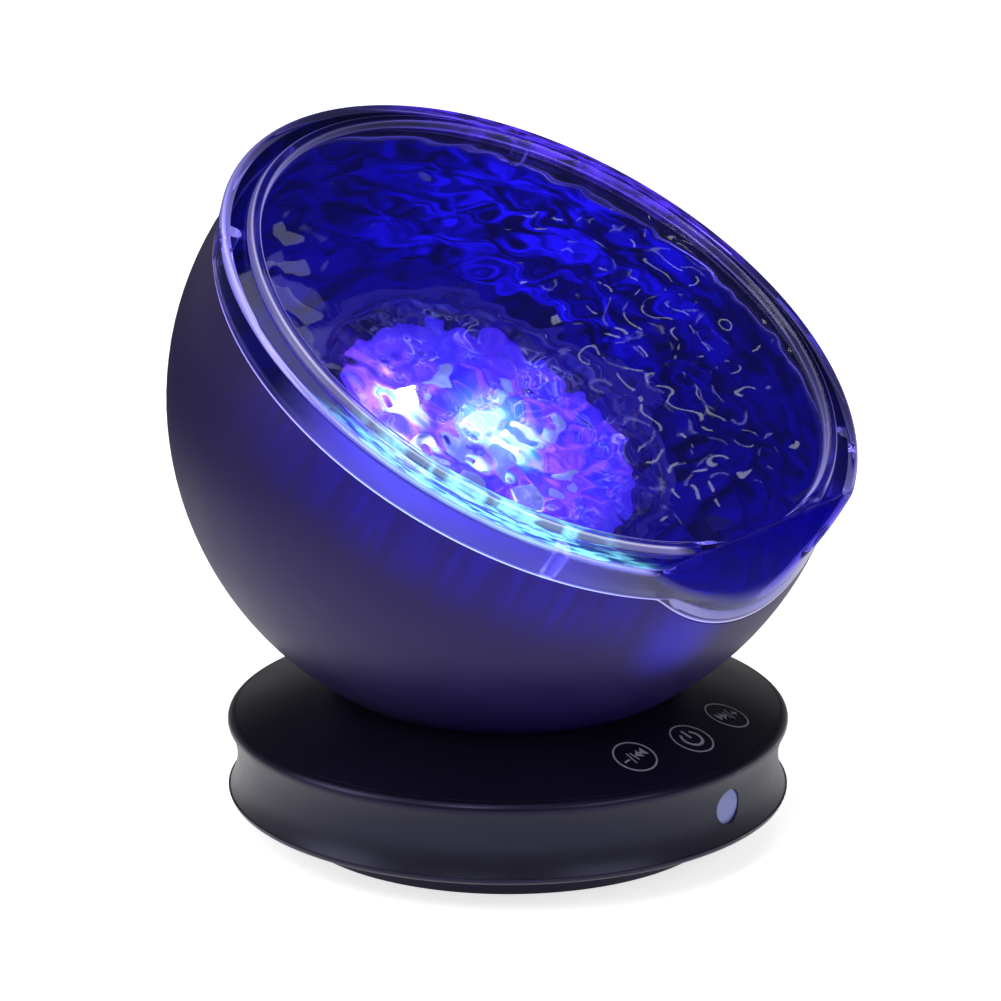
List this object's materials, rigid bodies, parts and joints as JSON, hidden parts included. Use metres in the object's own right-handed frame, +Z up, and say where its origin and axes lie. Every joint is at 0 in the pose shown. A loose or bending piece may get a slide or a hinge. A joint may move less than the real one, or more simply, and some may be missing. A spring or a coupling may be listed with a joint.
{
  "type": "ocean wave projector",
  "caption": "Table-top wave light: a ball-shaped head with a slanted clear rippled cover, a turning ripple disc over its lamps, and a round base with touch places.",
  "frame": {"origin": "on the base's round axis, on the surface that the feet stand on", "axes": "+Z up, -Y to the front, where the touch places and the low edge of the cover are, +X to the right seen from the front"},
  "size_m": [0.1524, 0.1442, 0.155],
  "materials": {
    "bowl_abs": "moulded, fine matte texture",
    "cover_acrylic": "clear, polished",
    "lens_acrylic": "clear, rippled",
    "deck_abs": "moulded",
    "lamp_board": "white solder mask",
    "lamp_epoxy": "clear resin",
    "reflector_abs": "bright",
    "gear_acetal": "moulded, smooth",
    "disc_acrylic": "clear, rippled",
    "motor_steel": "drawn can",
    "screw_steel": "zinc plated",
    "speaker_steel": "pressed, painted",
    "cone_paper": "pressed paper",
    "magnet_ferrite": "sintered",
    "loom_pvc": "sleeved wires",
    "base_abs": "moulded, satin",
    "band_abs": "moulded, fine matte texture",
    "foot_rubber": "matte",
    "circuit_board": "green solder mask",
    "chip_epoxy": "moulded",
    "contact_brass": "plain",
    "window_acrylic": "tinted, slightly frosted",
    "jack_nylon": "moulded"
  },
  "bodies": {
    "root": {"head_bowl": "bowl_abs", "wave_cover": "cover_acrylic", "wave_lens": "lens_acrylic", "light_deck": "deck_abs", "deck_screws": "screw_steel", "led_board": "lamp_board", "led_lamps": "lamp_epoxy", "led_reflector": "reflector_abs", "keeper_ring": "deck_abs", "gear_motor": "motor_steel", "motor_screws": "screw_steel", "speaker_frame": "speaker_steel", "speaker_cone": "cone_paper", "speaker_magnet": "magnet_ferrite", "speaker_screws": "screw_steel", "neck_screws": "screw_steel", "wire_loom": "loom_pvc", "base_top": "base_abs", "base_band": "band_abs", "base_bottom": "base_abs", "rubber_feet": "foot_rubber", "base_screws": "screw_steel", "main_board": "circuit_board", "board_screws": "screw_steel", "board_chips": "chip_epoxy", "touch_pads": "contact_brass", "ir_window": "window_acrylic", "ir_receiver": "chip_epoxy", "power_jack": "jack_nylon", "power_pin": "contact_brass", "audio_jack": "jack_nylon"},
    "rotor": {"drive_ring": "gear_acetal", "ripple_disc": "disc_acrylic"},
    "pinion": {"motor_shaft": "motor_steel", "drive_pinion": "gear_acetal"}
  },
  "joints": [
    {"name": "disc_spin", "type": "hinge", "parent": "root", "child": "rotor", "pos_m": [0, 0, 0.0992], "axis": [0, -0.515, 0.8572], "continuous": true},
    {"name": "pinion_spin", "type": "hinge", "parent": "root", "child": "pinion", "pos_m": [0.0525, 0, 0.0992], "axis": [0, -0.515, 0.8572], "continuous": true}
  ],
  "couplings": [
    {"joint": "pinion_spin", "follows": "disc_spin", "ratio": -6}
  ]
}
